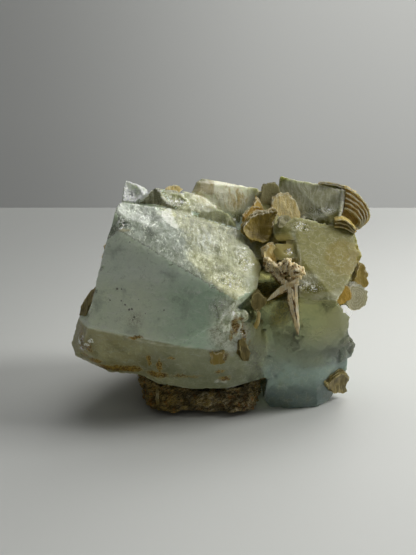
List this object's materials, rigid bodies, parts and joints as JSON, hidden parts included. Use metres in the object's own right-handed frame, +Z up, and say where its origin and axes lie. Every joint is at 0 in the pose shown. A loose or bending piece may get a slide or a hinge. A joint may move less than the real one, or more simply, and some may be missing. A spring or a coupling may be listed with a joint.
{
  "type": "mineral specimen",
  "caption": "Aquamarine with muscovite: a hand specimen of intergrown pale blue-green beryl crystals with golden mica books on dark host rock.",
  "frame": {"origin": "on the surface the specimen stands on, under its middle, in the flat base of the host rock", "axes": "+Z up; -Y is the side with the broad blue prism face; +X is to the right of that face, towards the greenish crystal"},
  "size_m": [0.0869, 0.054, 0.0613],
  "materials": {
    "aquamarine": "glassy, see-through at the edges and milky inside",
    "golden_mica": "pearly",
    "brown_mica": "pearly, dark",
    "pale_mica": "pearly, nearly clear",
    "tan_mica": "crumbly, matt",
    "host_rock": "rough, speckled with mica"
  },
  "bodies": {
    "root": {"aquamarine_crystals": "aquamarine", "host_rock": "host_rock", "tan_mica_mass": "tan_mica", "muscovite_curled_book": "golden_mica", "muscovite_golden_flake": "golden_mica", "muscovite_back_flake": "brown_mica", "muscovite_cupped_book": "golden_mica", "muscovite_orange_flake": "golden_mica", "muscovite_orange_tip": "golden_mica", "muscovite_amber_book": "golden_mica", "muscovite_olive_flake": "brown_mica", "muscovite_pocket_flake": "brown_mica", "muscovite_pale_curl": "pale_mica", "muscovite_right_edge_book": "brown_mica", "muscovite_diamond_flake": "golden_mica", "muscovite_clear_book": "pale_mica", "muscovite_flash_flake": "pale_mica", "muscovite_lower_right_book": "brown_mica", "muscovite_left_edge_flakes": "brown_mica", "muscovite_crown_flake": "golden_mica", "muscovite_seam_book": "golden_mica", "muscovite_face_flake": "golden_mica", "muscovite_shell_sheets": "golden_mica", "muscovite_host_blade": "pale_mica", "muscovite_back_rosette": "golden_mica", "muscovite_back_left_book": "golden_mica", "muscovite_back_right_book": "golden_mica"}
  },
  "joints": []
}
